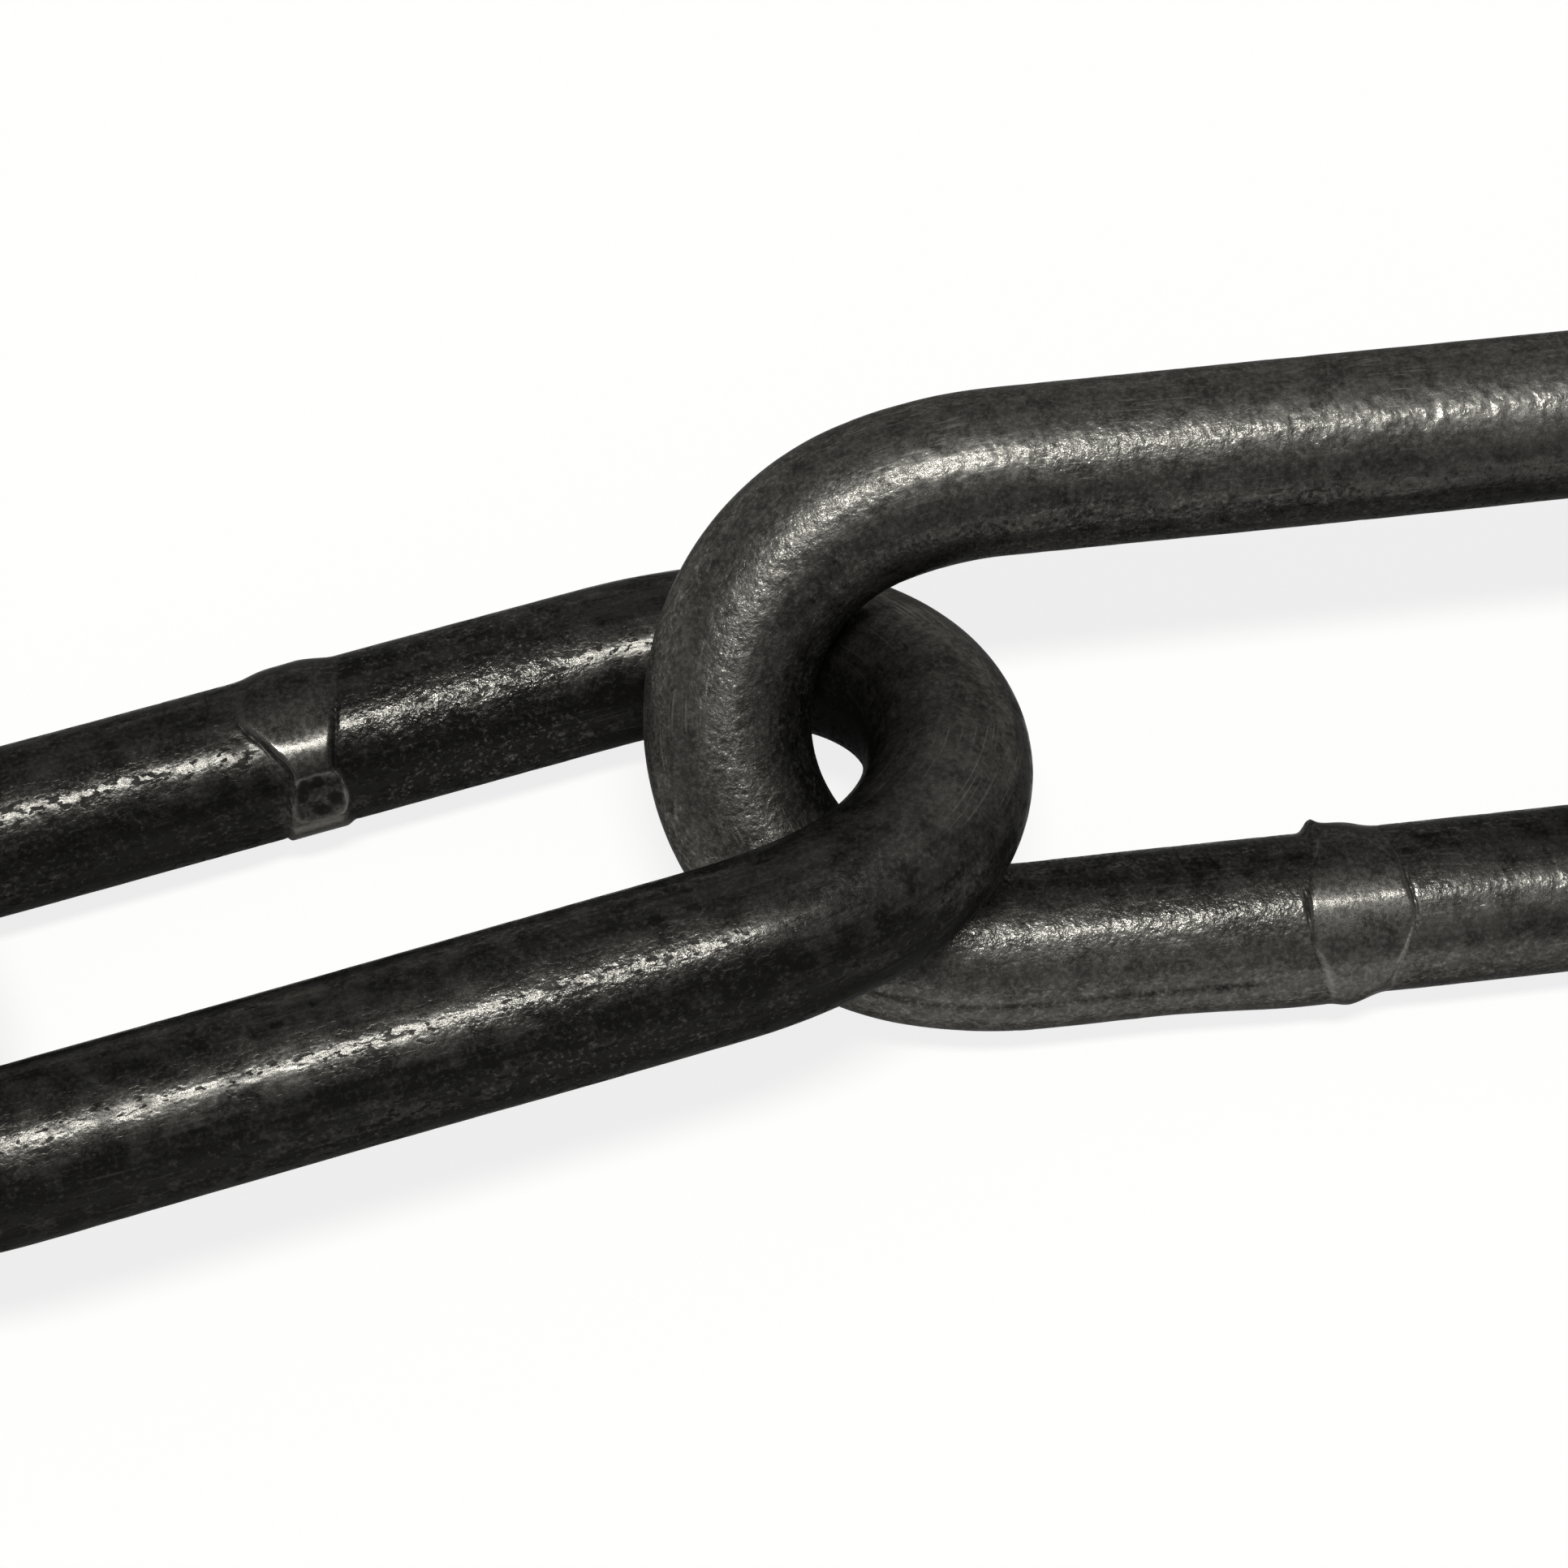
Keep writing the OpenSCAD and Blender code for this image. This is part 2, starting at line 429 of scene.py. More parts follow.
# Relief of the mill scale: plates with steps at their edges, cracks along the zero lines of a field that
# is long round the bar, pits at the peaks of a fine one, and lines from a field that is long along the bar
def scaleSurface(grid):
    v = scaleRelief
    relief = v["swell"] * roughness(grid, *v["swellSize"])
    relief += v["plate"] * patchwork(grid, *v["plates"])
    relief += v["pebble"] * roughness(grid, *v["pebbleSize"])
    cracked = patchwork(grid, *v["cracked"])
    crack = np.exp(-(roughness(grid, *v["crackSize"]) / v["crackWidth"]) ** 2) * cracked
    pit = patchwork(grid, *v["pits"]) * patchwork(grid, *v["pitted"])
    relief -= v["crack"] * crack + v["pit"] * pit
    relief += v["line"] * roughness(grid, *v["lineSize"])
    return relief, np.clip(crack * v["crackDirt"] + pit * v["pitDirt"], 0, 1)


# Welds. Turns are in degrees round the bar, from straight out of the eye towards the link's upper side;
# places are in mm along the chain from the link's middle. A value that changes round the bar is a row of
# turns, each with the value there.

leftWeld = {
    "leftEdge": ((67, -2.2), (113, -2.6), (137, -0.9), (160, 0.4), (175, -0.35), (231, -1.0), (300, -1.5)),
    "rightEdge": ((71, 6.4), (119, 5.0), (157, 3.6), (172, 4.2), (193, 4.4), (210, 4.0), (231, 4.5),
                  (300, 5.0)),
    "height": ((20, 0.40), (67, 0.46), (85, 0.40), (121, 0.12), (157, 0.58), (166, 0.42), (200, 0.38),
               (231, 0.26), (299, 0.36)),
    "leftRamp": ((67, 3.6), (98, 2.0), (116, 0.4), (137, 0.3), (160, 0.4), (175, 0.3), (231, 0.25),
                 (300, 0.6)),
    "rightRamp": ((71, 3.4), (100, 1.4), (122, 0.4), (170, 0.4), (231, 0.8), (300, 1.2)),
    "groove": ((67, 0.0), (100, 0.03), (125, 0.10), (200, 0.08), (240, 0.03), (300, 0.03)),    # mm deep
    "dip": 0.16,            # mm, of the bar's hollow flank beside the left edge, from turn to turn
    "dipFrom": 118,
    "dipTo": 222,
    "scar": (179, 2.0, 19, 2.0),        # turn, place, half turn and half length of the sheared flat
    "scarDepth": 0.14,      # mm, below the band
    "scarPits": ((168, 1.1, 0.55), (165, 2.2, 0.35), (182, 3.2, 0.50), (189, 1.9, 0.62), (176, 0.7, 0.30)),
    "fin": 0.0,             # mm, height of the rag of flash
    "finTurn": 0,
    "finX": 0.0,
    "swell": 0.0,           # mm, bulge of the bar beside the weld, on the eye's outer side
    "rubLeft": ((67, 0.0), (105, 0.2), (120, 1.0), (150, 1.0), (175, 0.1), (300, 0.2)),  # edges rubbed bright
    "rubRight": 0.1,
}

rightWeld = {
    "leftEdge": ((11, -4.2), (62, -5.4), (82, -5.9), (109, -6.2), (130, -5.5), (157, -4.5), (175, -4.5),
                 (235, -4.6), (320, -4.0)),
    "rightEdge": ((11, 0.5), (55, 0.6), (74, 1.5), (91, 2.1), (108, 2.0), (126, 1.6), (172, 0.8),
                  (235, 2.2), (320, 1.0)),
    "height": ((-10, 0.45), (11, 0.42), (45, 0.32), (90, 0.27), (130, 0.27), (170, 0.42), (200, 0.42),
               (230, 0.36), (300, 0.40)),
    "leftRamp": ((-20, 2.2), (15, 2.0), (45, 0.5), (90, 0.4), (170, 0.4), (235, 0.6), (300, 1.0)),
    "rightRamp": ((-20, 4.0), (15, 3.6), (50, 0.5), (90, 0.3), (130, 0.5), (172, 4.2), (235, 1.0),
                  (300, 2.0)),
    "groove": ((11, 0.0), (50, 0.02), (90, 0.04), (125, 0.05), (160, 0.07), (200, 0.02), (300, 0.02)),
    "dip": 0.0,
    "dipFrom": 0,
    "dipTo": 0,
    "scar": (217, -1.5, 18, 1.9),
    "scarDepth": 0.10,
    "scarPits": ((210, -2.0, 0.4), (222, -0.6, 0.5)),
    "fin": 0.80,
    "finTurn": 180,
    "finX": -4.4,
    "swell": 0.5,
    "rubLeft": ((11, 0.7), (80, 0.5), (110, 0.15), (160, 0.0), (300, 0.2)),
    "rubRight": ((11, 0.4), (55, 1.0), (122, 1.0), (140, 0.2), (170, 0.0), (300, 0.2)),
}

# The welds of the other links. Two numbers are the least and the most of a value.
otherWelds = {
    "off": 1.9,             # mm, how far a weld is off the middle of its leg, one way or the other
    "halfLength": 3.5,      # mm, from its middle to its edges
    "turnStep": 40,         # degrees from one value round the bar to the next
    "wander": (-0.7, 0.7),  # mm, of the edges
    "height": (0.3, 0.44),  # mm
    "ramp": (0.4, 1.4),     # mm
    "groove": (0.06, 0.04),             # mm deep, and how much less for each mm of the left ramp
    "dip": (0.0, 0.15),     # mm
    "dipFrom": 90,
    "dipTo": 210,
    "askew": 6,             # degrees, how far any link is askew in its weld
    "scarTurn": 200.5,      # mean turn of the sheared flats, and how far the links of either lean are from it
    "scarApart": 17.5,
    "scarStep": 61,         # degrees from link to link, of the sine that the flats and rags are askew by
    "scarHalfTurn": 20,
    "scarHalfLength": (1.6, 2.2),
    "scarDepth": 0.12,
    "pitTurn": (-14, 14),   # degrees, mm and mm: where the three pits in the flat are, and how large
    "pitX": (-1.3, 1.3),
    "pitSize": (0.3, 0.5),
    "fin": 0.90,            # mm, height of the rag
    "finLow": 0.6,          # share of it that stands where it is nearer to the top and was knocked down
    "finTurn": 151,
    "finApart": 17,
    "finStep": 97,
    "finOff": -3.4,         # mm from the weld's middle
    "swell": (0.0, 0.3),
    "rubLeft": (0.1, 0.5),
    "rubRight": (0.1, 0.6),
}


# A weld of the other links: a band of the same kind. Its scar and its rag lie where the solid's are: the
# links that lean one way have them nearer to the top than those that lean the other way, and the weld is
# off the middle of the leg by a little, one way or the other.
def drawnWeld(rng, number):
    v = otherWelds
    side = 1 if number % 2 == 0 else -1
    middle = v["off"] * side
    turns = np.arange(0, 360, v["turnStep"])
    wander = rng.uniform(*v["wander"], (2, len(turns)))
    height = rng.uniform(*v["height"], len(turns))
    ramp = rng.uniform(*v["ramp"], (2, len(turns)))
    deep, shallower = v["groove"]
    scarAskew, finAskew = (
        v["askew"] * math.sin(math.radians(v[key] * number)) for key in ("scarStep", "finStep"))
    scarTurn = v["scarTurn"] - v["scarApart"] * side + scarAskew
    pitTurns, pitXs, pitSizes = (rng.uniform(*v[key], 3) for key in ("pitTurn", "pitX", "pitSize"))
    return {
        "leftEdge": tuple(zip(turns, middle + wander[0] - v["halfLength"])),
        "rightEdge": tuple(zip(turns, middle + wander[1] + v["halfLength"])),
        "height": tuple(zip(turns, height)),
        "leftRamp": tuple(zip(turns, ramp[0])),
        "rightRamp": tuple(zip(turns, ramp[1])),
        "groove": tuple(zip(turns, deep - shallower * ramp[0])),
        "dip": rng.uniform(*v["dip"]),
        "dipFrom": v["dipFrom"],
        "dipTo": v["dipTo"],
        "scar": (scarTurn, middle, v["scarHalfTurn"], rng.uniform(*v["scarHalfLength"])),
        "scarDepth": v["scarDepth"],
        "scarPits": tuple(zip(pitTurns + scarTurn, pitXs + middle, pitSizes)),
        "fin": v["fin"] * (v["finLow"] if side > 0 else 1),
        "finTurn": v["finTurn"] - v["finApart"] * side + finAskew,
        "finX": middle + v["finOff"],
        "swell": rng.uniform(*v["swell"]),
        "rubLeft": rng.uniform(*v["rubLeft"]),
        "rubRight": rng.uniform(*v["rubRight"]),
    }


# What all welds share, in mm unless it says otherwise. A slope is where it begins and how long it is. What
# is random is an amount and its sizes along and round the bar in mm.
weldFinish = {
    "waver": (0.06, 0.5, 0.7),      # of the edges
    "uneven": (0.08, 1.2, 1.6),     # share of the band's height
    "grooveOut": 0.10,      # from an edge to its groove, and the groove's half width
    "grooveWidth": 0.13,
    "grooveFull": 0.16,     # depth at which a groove's painted shade is quite dark
    "dipFade": 12,          # degrees, slope at both turns where the hollow flank ends
    "dipIn": (-3.2, 2.6),   # slope, counted from the left edge
    "dipOut": (-0.5, 0.7),  # slope, the same and backwards
    "swellTurn": 10,        # degrees, middle and half width of the bulge
    "swellHalf": 40,
    "swellUp": (-18, 13),   # slopes, from the link's middle
    "swellDown": (-4.3, 4.8),
    "finHalf": 15,          # degrees, half the rag's sweep
    "finFront": 1.1,        # length of its steep side
    "finTail": 0.12,        # share of its height that runs on over the band
    "finFall": 0.5,         # how fast the rest falls away
    "finEnd": 2.5,          # length of the slope down to the right edge
    "finCrumble": (0.18, 0.35, 0.6),    # share of its height
    "scarWall": (0.82, 0.16),   # slope, from the flat's middle and as a share of its half size
    "scarUneven": (0.15, 0.3, 0.3),     # share of its depth
    "scarDirt": 0.12,
    "rimWidth": 0.075,      # share of the flat's half size
    "rimHeight": 0.04,
    "pitDepth": 0.10,
    "rimRubbed": 0.3,       # how bright the flat's rim is rubbed, and how much more towards the right
    "rimRubbedMore": 0.6,
    "rimRun": 2,
    "belowRubbed": 0.9,     # how bright the band is rubbed below the flat
    "belowIn": (0, 6),      # slope, in degrees counted from the flat's edge
    "belowOut": (-34, 8),   # slope, the same and backwards
    "lineRight": (0.2, 0.22),   # how far inside the right edge the rubbed line is, and its half width
    "lineLeft": (0.35, 0.28),
    "seamHalf": 1.5,        # along the bar, beside the seam of the patterns with a grain
}


# Relief of a weld. A band is raised between two edges that wander round the bar, with a thin groove outside
# each. The bar may be dished beside the left edge and bulge on the eye's outer side. A rag of flash stands
# up steeply on one side and falls away on the other. The sheared flat is a box with round corners, where
# the fourth powers of the two offsets, each over its half size, add up to 1, sunk and with pits in it.
def weldSurface(v, grid):
    shared, turn = weldFinish, grid["turn"]

    def around(key):
        return v[key] if isinstance(v[key], float) else roundBar(turn[0], v[key])

    def turnFrom(degrees):
        return np.degrees(np.angle(np.exp(1j * (turn - math.radians(degrees)))))

    def slope(offset, key):
        begin, run = shared[key]
        return rise((offset - begin) / run)

    def random(key):
        amount, sizeAlong, sizeRound = shared[key]
        return amount * roughness(grid, sizeAlong, sizeRound)

    def rubbedLine(inside, key):
        at, half = shared[key]
        return np.exp(-((inside - at) / half) ** 2)

    x = grid["along"] + random("waver")
    left, right = around("leftEdge"), around("rightEdge")
    band = rise((x - left) / around("leftRamp")) * rise((right - x) / around("rightRamp"))
    relief = around("height") * band * (1 + random("uneven"))
    groove = sum(np.exp(-((outside - shared["grooveOut"]) / shared["grooveWidth"]) ** 2)
                 for outside in (left - x, x - right))
    relief -= around("groove") * groove

    middle = (v["dipFrom"] + v["dipTo"]) / 2
    inDip = rise((v["dipTo"] - middle - abs(turnFrom(middle))) / shared["dipFade"] + 0.5)
    relief -= v["dip"] * inDip * slope(x - left, "dipIn") * slope(left - x, "dipOut")
    outerSide = np.exp(-(turnFrom(shared["swellTurn"]) / shared["swellHalf"]) ** 2)
    relief += v["swell"] * outerSide * slope(x, "swellUp") * (1 - slope(x, "swellDown"))

    standing = np.exp(-(turnFrom(v["finTurn"]) / shared["finHalf"]) ** 4)
    front = rise((x - v["finX"]) / shared["finFront"] + 1)
    falling = np.exp(-np.clip(x - v["finX"], 0, None) / shared["finFall"])
    falling = shared["finTail"] + (1 - shared["finTail"]) * falling
    rag = v["fin"] * standing * front ** 2 * falling * rise((right - x) / shared["finEnd"])
    relief += rag * (1 + random("finCrumble"))

    scarTurn, scarX, halfTurn, halfLength = v["scar"]
    fromScar = turnFrom(scarTurn)
    edge = ((fromScar / halfTurn) ** 4 + ((x - scarX) / halfLength) ** 4) ** 0.25
    inside = 1 - slope(edge, "scarWall")
    rim = np.exp(-((edge - 1.0) / shared["rimWidth"]) ** 2)
    relief -= v["scarDepth"] * inside * (1 + random("scarUneven"))
    relief += shared["rimHeight"] * rim
    pits = np.zeros_like(x)
    for pitTurn, pitX, size in v["scarPits"]:
        off = (np.radians(turnFrom(pitTurn)) * barRadius) ** 2 + (x - pitX) ** 2
        pits += np.exp(-(off / size ** 2) ** 1.5)
    relief -= shared["pitDepth"] * pits

    # Darkening: in the grooves it is painted shade of the band's steps, in the pits and the flat it is dirt
    dirt = around("groove") / shared["grooveFull"] * groove + pits + shared["scarDirt"] * inside
    dirtAndShade = np.clip(dirt, 0, 1)
    rimRubbed = shared["rimRubbed"] + shared["rimRubbedMore"] * rise((x - scarX) / shared["rimRun"])
    below = slope(fromScar - halfTurn, "belowIn") * slope(halfTurn - fromScar, "belowOut") * band
    rubbed = (rim * rimRubbed + shared["belowRubbed"] * below
              + around("rubRight") * rubbedLine(right - x, "lineRight")
              + around("rubLeft") * rubbedLine(x - left, "lineLeft"))
    mask = np.clip(band + groove + np.exp(-(grid["along"] / shared["seamHalf"]) ** 2), 0, 1)
    return relief, mask, dirtAndShade, np.clip(rubbed, 0, 1) * (1 - dirtAndShade)


# A closed grid of points as a mesh object of quads, wrapped both ways, facing outwards
def addSurface(name, points, flipped):
    index = np.arange(points.shape[0] * points.shape[1]).reshape(points.shape[:2])
    nextAlong = np.roll(index, -1, 0)
    corners = [index, np.roll(index, -1, 1), np.roll(nextAlong, -1, 1), nextAlong]
    quads = np.stack(corners[::-1] if flipped else corners, -1).reshape(-1, 4)
    mesh = bpy.data.meshes.new(name)
    mesh.vertices.add(index.size)
    mesh.vertices.foreach_set("co", points.astype(np.float32).ravel())
    mesh.loops.add(quads.size)
    mesh.loops.foreach_set("vertex_index", quads.astype(np.int32).ravel())
    mesh.polygons.add(len(quads))
    mesh.polygons.foreach_set("loop_start", np.arange(0, quads.size, 4, dtype=np.int32))
    mesh.polygons.foreach_set("use_smooth", np.ones(len(quads), bool))
    mesh.update(calc_edges=True)
    made = bpy.data.objects.new(name, mesh)
    bpy.context.scene.collection.objects.link(made)
    return made


# A value, or a vector of three, for each point of a mesh
def addAttribute(mesh, name, values):
    vectors = values.ndim == 3
    attribute = mesh.attributes.new(name, "FLOAT_VECTOR" if vectors else "FLOAT", "POINT")
    attribute.data.foreach_set("vector" if vectors else "value", values.astype(np.float32).ravel())


# The two links of the photo. Places along a link are in mm from its weld, unless it says otherwise.

leftLink = {
    "weld": leftWeld,
    "stretch": 0.5,         # below 1 the plates of scale are long along the bar, above 1 across it
    "dull": 0.22,           # how dull and how pebbled the bar is
    "pebbled": 0.2,
    "pebbledPatches": ((15.0, 9.5, 1.0), (102.0, 12.0, 0.5)),   # place, half length and strength
    "keptDark": 0.38,       # painted shade on the near sides of the bar, -Y
}

rightLink = {
    "weld": rightWeld,
    "stretch": 1.3,
    "dull": 0.95,
    "pebbled": 0.65,
    "pebbledPatches": ((-62.0, 22.0, 0.8),),
    "scoredLine": {
        "turn": 53,         # degrees
        "start": -46.0,     # where it starts, and how gently
        "startRun": 8,
        "end": -8.0,        # where it ends, and how gently
        "endRun": 3,
        "width": 3.6,       # degrees
        "waver": 1.5,       # degrees
        "waverLength": 4.7,     # mm for each radian of its waver
        "depth": 0.05,      # mm
        "dirt": 0.6,
    },
    "wornTop": {
        "start": -8.0,      # mm from the link's middle, along the chain, and over how many it sets in
        "startRun": 20.0,
        "width": 0.5,       # radians round the bar
        "strength": 0.4,
    },
}

linkDetail = {
    "near": (752, 132),     # cells along and round the bar, for the two links of the photo
    "far": (384, 68),       # and for the others
    "crowding": 0.5,        # how much the cells crowd together at the weld
    "scaleLost": 0.6,       # share of the scale's relief that the heat of welding took off
    "otherStretch": (0.5, 1.3),     # least and most, for the other links
    "otherDull": (0.1, 0.9),
    "otherPebbled": (0.1, 0.4),
    "patternApart": 300.0,  # mm from one link to the next in the patterns that follow the bar
    "photoLinks": {10: leftLink, 11: rightLink},
    "seed": 1300,
}

# Four numbers are the level, the contrast and the sizes in mm of a patchwork
linkWear = {
    "patches": (0.75, 0.5, 12.0, 9.0),
    "innerKept": 0.3,       # share of the dullness that is left on the eye's inner side
    "crestHalf": 17.0,      # mm along the bar from the middle of a crown
    "crestTurns": (64, 296),        # degrees
    "crestWidth": 0.65,     # radians
    "seatHalf": 15.0,       # mm along the bar from the middle of a crown
    "seatTurn": 3.4,        # radians
    "seatWidth": 0.9,       # radians
    "seatShade": 0.7,
    "pebbling": (0.6, 0.6, 8.0, 5.0),
    "rubSpots": (0.5, 0.6, 1.0, 1.0),   # on a worn top
    "darkFrom": 0.35,       # how far the bar faces -Y where the painted shade begins
    "darkRun": 0.4,
    "weldPebbled": 0.2,     # share of the pebbling that a weld has
}


# How dull a link is from place to place: in patches as long as the bar is thick, less on the eye's inner
# side, which keeps its dark scale, in part as painted shade, and most along the outer crests of both
# crowns, where the links knock together, their paler tone in part a painted sheen. The seats, where a link
# bears on its neighbour, get painted shade. Crests and seats are bell curves of the offset along the bar
# and of the offset round it, to the second or fourth power.
def dullness(grid):
    v, turn = linkWear, grid["turn"]
    outerShare = v["innerKept"] + (1 - v["innerKept"]) * rise(0.65 + 0.7 * np.cos(turn))
    patches = patchwork(grid, *v["patches"]) * outerShare
    fromNose = np.abs(np.abs(grid["distance"] / grid["length"] - 0.5) - 0.25)[:, None] * grid["length"]
    crest = np.exp(-(fromNose / v["crestHalf"]) ** 4) * sum(
        np.exp(-((turn - math.radians(at)) / v["crestWidth"]) ** 2) for at in v["crestTurns"])
    seat = np.exp(-(fromNose / v["seatHalf"]) ** 4) * np.exp(-((turn - v["seatTurn"]) / v["seatWidth"]) ** 4)
    return patches, crest, seat


# A line scored along the bar, wavering round it as the sine of the place along it: 1 in the line and a bell
# curve of the offset beside it
def scoredLine(v, grid):
    along = grid["along"]
    off = np.degrees(grid["turn"]) - v["turn"] - v["waver"] * np.sin(along / v["waverLength"])
    return (np.exp(-(off / v["width"]) ** 2) * rise((along - v["start"]) / v["startRun"])
            * rise((v["end"] - along) / v["endRun"]))


# The attributes of a link that its steel reads, each from 0 to 1. A pebbled patch is a bell curve, to the
# fourth power, of the shorter way round the link to its middle.
def addWear(mesh, own, grid, mask, dirtAndShade, rubbed):
    v, rng = linkWear, grid["rng"]
    patches, crest, seat = dullness(grid)
    # Painted shade: link 10's sides that face -Y are darkened through the dirt and shade attribute
    nearShade = own.get("keptDark", 0) * rise((grid["facing"] - v["darkFrom"]) / v["darkRun"])
    nearShade = nearShade * (1 - mask) * (1 - crest)
    if "wornTop" in own:
        worn = own["wornTop"]
        top = np.exp(-((grid["turn"] - math.pi / 2) / worn["width"]) ** 2)
        top = worn["strength"] * top * rise((grid["inLink"] - worn["start"]) / worn["startRun"])
        rubbed = np.maximum(rubbed, top * patchwork(grid, *v["rubSpots"]))
    dull = own.get("dull", rng.uniform(*linkDetail["otherDull"])) * patches + crest
    pebbled = own.get("pebbled", rng.uniform(*linkDetail["otherPebbled"]))
    pebbled = pebbled * patchwork(grid, *v["pebbling"])
    for at, half, strength in own.get("pebbledPatches", ()):
        off = (grid["along"] - at + grid["length"] / 2) % grid["length"] - grid["length"] / 2
        pebbled = pebbled + strength * np.exp(-(off / half) ** 4)
    addAttribute(mesh, "weldBand", mask)
    addAttribute(mesh, "dirtAndShade", np.maximum(np.maximum(dirtAndShade, v["seatShade"] * seat), nearShade))
    addAttribute(mesh, "rubbed", rubbed)
    addAttribute(mesh, "dull", np.clip(dull, 0, 1))
    addAttribute(mesh, "pebbled", np.clip(pebbled, 0, 1) * (1 - (1 - v["weldPebbled"]) * mask))


# A link: a bar of circular section carried along the centreline, its radius raised by the relief. A point
# is centre + (r + relief) * (cos(turn) * outward + sin(turn) * normal).
def addLink(number):
    v, name = linkDetail, linkName(number)
    own = v["photoLinks"].get(number, {})
    middle, alongAxis, normal = linkPlace(number)
    across = np.cross(normal, alongAxis)
    weldSide = -math.copysign(1, across[2])      # the leg that rests on the floor carries the weld
    sideways = np.array([alongAxis, weldSide * across])
    shape = v["near" if own else "far"]
    places, outward, distance, length = linkCentreline(shape[0], v["crowding"])
    centres = (middle / mm + places @ sideways)[:, None]
    outward = (outward @ sideways)[:, None]
    along = np.where(distance > length / 2, distance - length, distance)
    turn = np.broadcast_to(np.arange(shape[1]) * 2 * math.pi / shape[1], shape)
    direction = np.cos(turn)[..., None] * outward + np.sin(turn)[..., None] * normal
    grid = {
        "rng": np.random.default_rng(v["seed"] + number),
        "shape": shape,
        "turn": turn,                   # radians round the bar
        "distance": distance,           # mm along the bar from the weld, once round the link
        "length": length,
        "along": np.broadcast_to(along[:, None], shape),    # the same, to half way round on either side
        "inLink": places[:, :1],        # mm along the chain from the link's middle
        "facing": -direction[..., 1],   # 1 where the bar faces -Y, the near side
    }
    relief, dirtAndShade = scaleSurface(grid)
    weld = own.get("weld") or drawnWeld(grid["rng"], number)
    weldRelief, mask, weldDirtAndShade, rubbed = weldSurface(weld, grid)
    relief = relief * (1 - v["scaleLost"] * mask) + weldRelief
    dirtAndShade = np.maximum(dirtAndShade, weldDirtAndShade)
    if "scoredLine" in own:
        line = scoredLine(own["scoredLine"], grid)
        relief -= own["scoredLine"]["depth"] * line
        dirtAndShade = np.maximum(dirtAndShade, own["scoredLine"]["dirt"] * line)
    points = centres + (barRadius + relief)[..., None] * direction
    made = addSurface(name + "_bar", points * mm, weldSide < 0)

    stretch = own.get("stretch", grid["rng"].uniform(*v["otherStretch"]))
    lengthAlong = np.broadcast_to(distance[:, None], shape) + v["patternApart"] * number
    barSpace = [stretch * lengthAlong, barRadius * np.cos(turn), barRadius * np.sin(turn)]
    addAttribute(made.data, "barSpace", np.stack(barSpace, -1))
    addWear(made.data, own, grid, mask, dirtAndShade, rubbed)
    made.data.materials.append(darkSteel)
    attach(made, name)
    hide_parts(name)


for number in range(1, len(frame["bodies"]) + 1):
    addLink(number)


# Studio: a wide pale floor over a white backdrop, a plain soft world and one large soft light nearly
# overhead

studio = {
    "floorHalf": 30.0,          # m
    "floorColour": (0.70, 0.70, 0.70),
    "floorGlow": 0.32,          # what lifts the lit floor to white
    "floorClear": 0.75,         # how clear the floor is to the camera, so that links swung below it show
    "backdropDrop": 2.0,        # m from the floor down to the white backdrop
    "white": (1.0, 1.0, 1.0),
    "worldColour": (0.17, 0.17, 0.17),
    "lightHeight": 3.0,         # m over the floor
    "lightX": -0.02,            # m from the joint in view
    "lightY": -0.35,
    "lightLength": 1.3,         # m, along the chain's line
    "lightWidth": 0.4,          # m
    "lightPower": 78.0,         # W
    "lightColour": (1.0, 0.98, 0.94),
}


# A square level sheet of the set
def addSheet(name, half, height, material):
    mesh = bpy.data.meshes.new(name)
    corners = [(-half, -half, height), (half, -half, height), (half, half, height), (-half, half, height)]
    mesh.from_pydata(corners, [], [(0, 1, 2, 3)])
    mesh.materials.append(material)
    sheet = bpy.data.objects.new(name, mesh)
    bpy.context.scene.collection.objects.link(sheet)


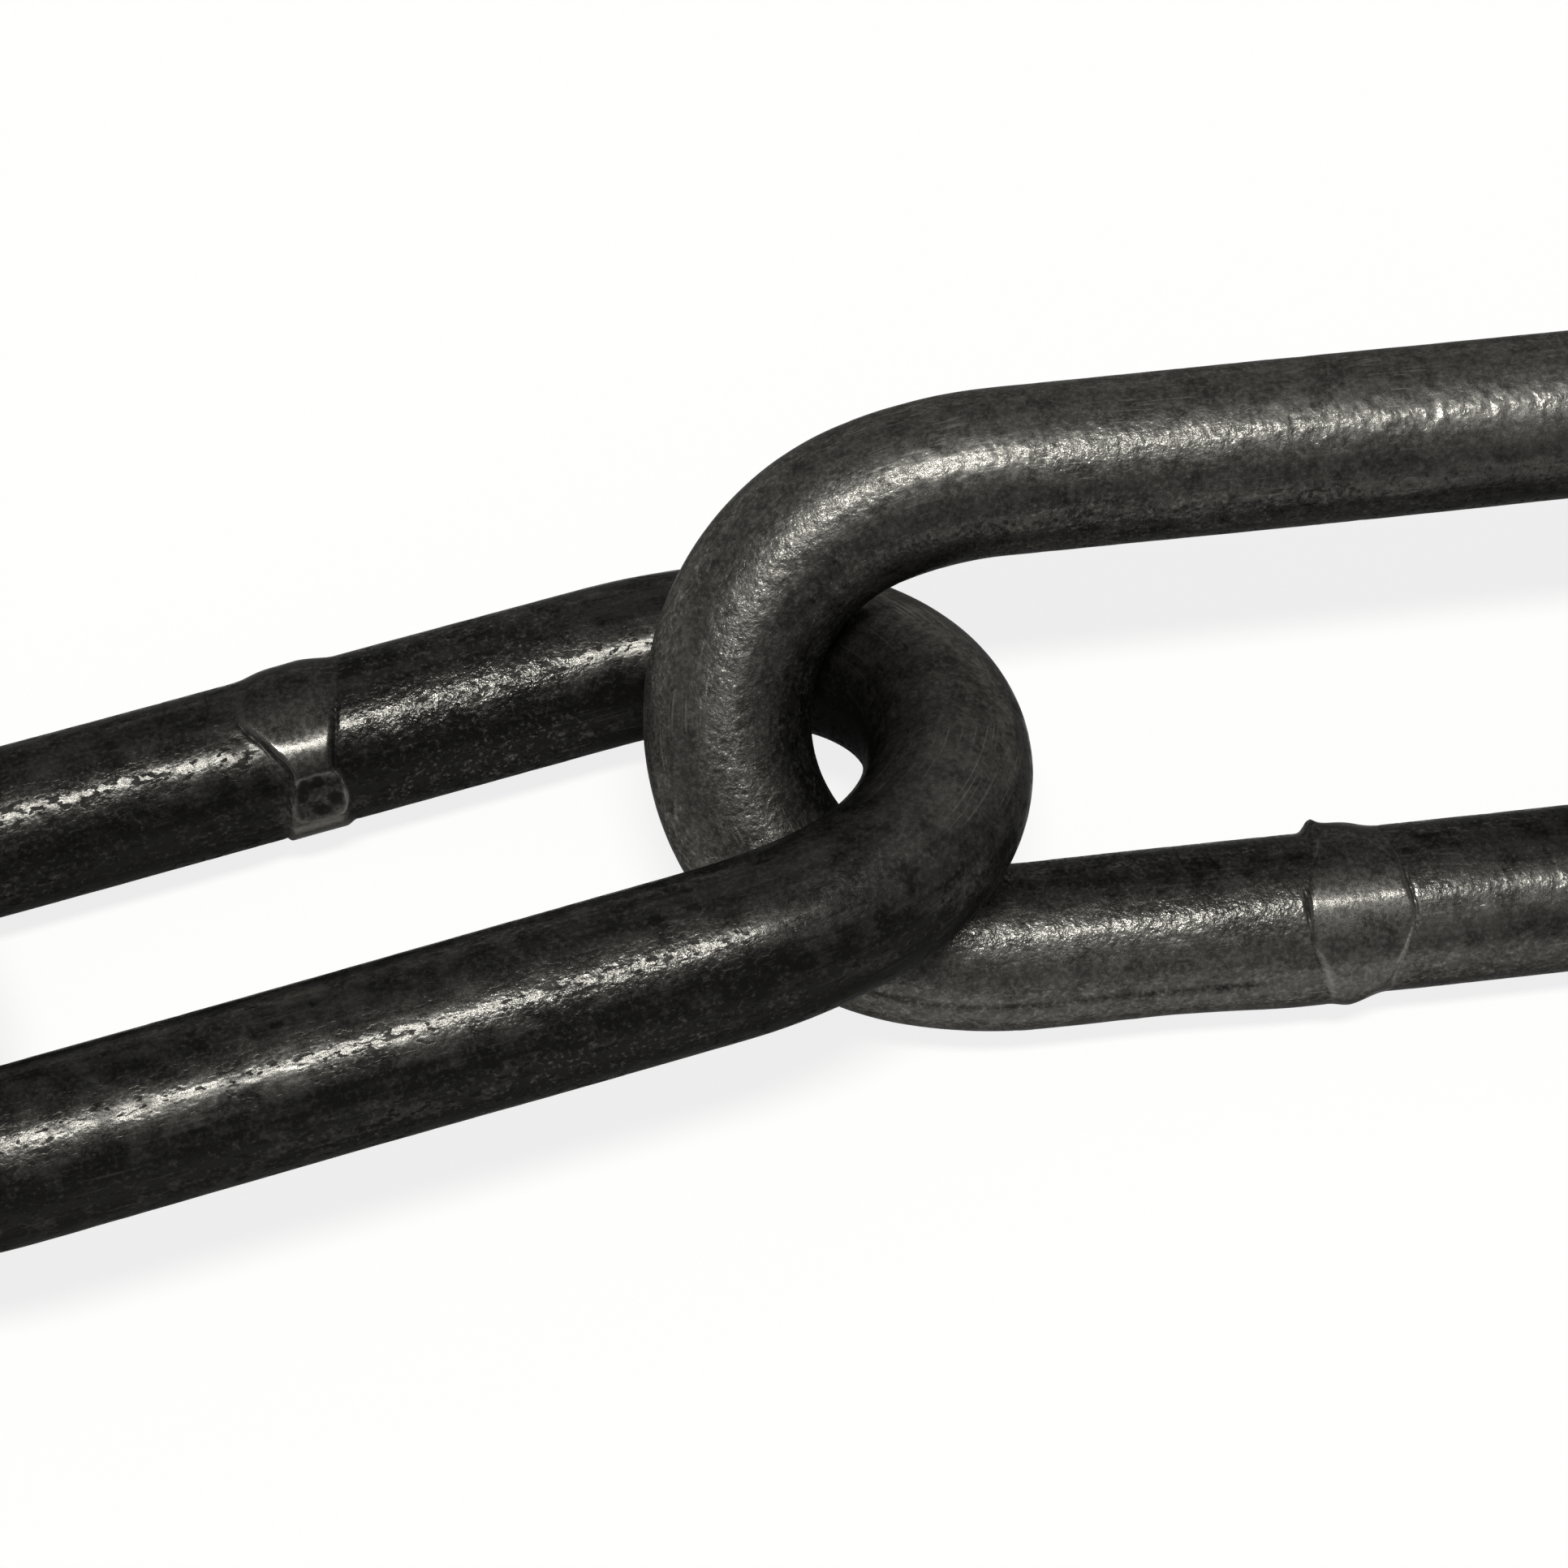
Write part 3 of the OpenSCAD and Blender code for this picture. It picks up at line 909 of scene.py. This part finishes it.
# The floor is plain pale matt board. The camera and mirror-like rays see it lifted to white. The camera sees
# it as clear in part, too, over a plain white backdrop, and so it keeps a soft shadow.
def addFloor(v):
    white = (*v["white"], 1.0)
    material, tree = newMaterial("paleFloor")
    camera, glossy, through = (node(tree, "ShaderNodeLightPath", {"out": ray}) for ray in (
        "Is Camera Ray", "Is Glossy Ray", "Is Transmission Ray"))
    board = node(tree, "ShaderNodeBsdfDiffuse", None, (*v["floorColour"], 1.0))
    glow = node(tree, "ShaderNodeEmission", None, white, v["floorGlow"])
    lifted = node(tree, "ShaderNodeAddShader", None, board, glow)
    clear = node(tree, "ShaderNodeBsdfTransparent")
    seenLifted = node(tree, "ShaderNodeMixShader", None, camera + glossy + through, board, lifted)
    shader = node(tree, "ShaderNodeMixShader", None, camera * v["floorClear"], seenLifted, clear)
    node(tree, "ShaderNodeOutputMaterial", None, shader)
    addSheet("floor", v["floorHalf"], 0.0, material)

    material, tree = newMaterial("whiteBackdrop")
    glow = node(tree, "ShaderNodeEmission", None, white, 1.0)
    node(tree, "ShaderNodeOutputMaterial", None, glow)
    addSheet("backdrop", v["floorHalf"], -v["backdropDrop"], material)


# The light stands off the joint in view by x and y, and is tilted by their angles at its height to face it
def addLights(v):
    x, y, _ = jointPlace(photoView["joint"])
    data = bpy.data.lights.new("softLight", "AREA")
    data.shape = "ELLIPSE"
    data.size, data.size_y, data.energy, data.color = (
        v["lightLength"], v["lightWidth"], v["lightPower"], v["lightColour"])
    light = bpy.data.objects.new("softLight", data)
    light.location = (x + v["lightX"], y + v["lightY"], v["lightHeight"])
    light.rotation_euler = (math.atan2(v["lightY"], v["lightHeight"]),
                            -math.atan2(v["lightX"], v["lightHeight"]), 0)
    bpy.context.scene.collection.objects.link(light)
    world = bpy.data.worlds.new("studio")
    world.use_nodes = True
    world.node_tree.nodes["Background"].inputs["Color"].default_value = (*v["worldColour"], 1.0)
    bpy.context.scene.world = world


addFloor(studio)
addLights(studio)
bpy.context.scene.view_settings.view_transform = "Standard"
print("studio set")
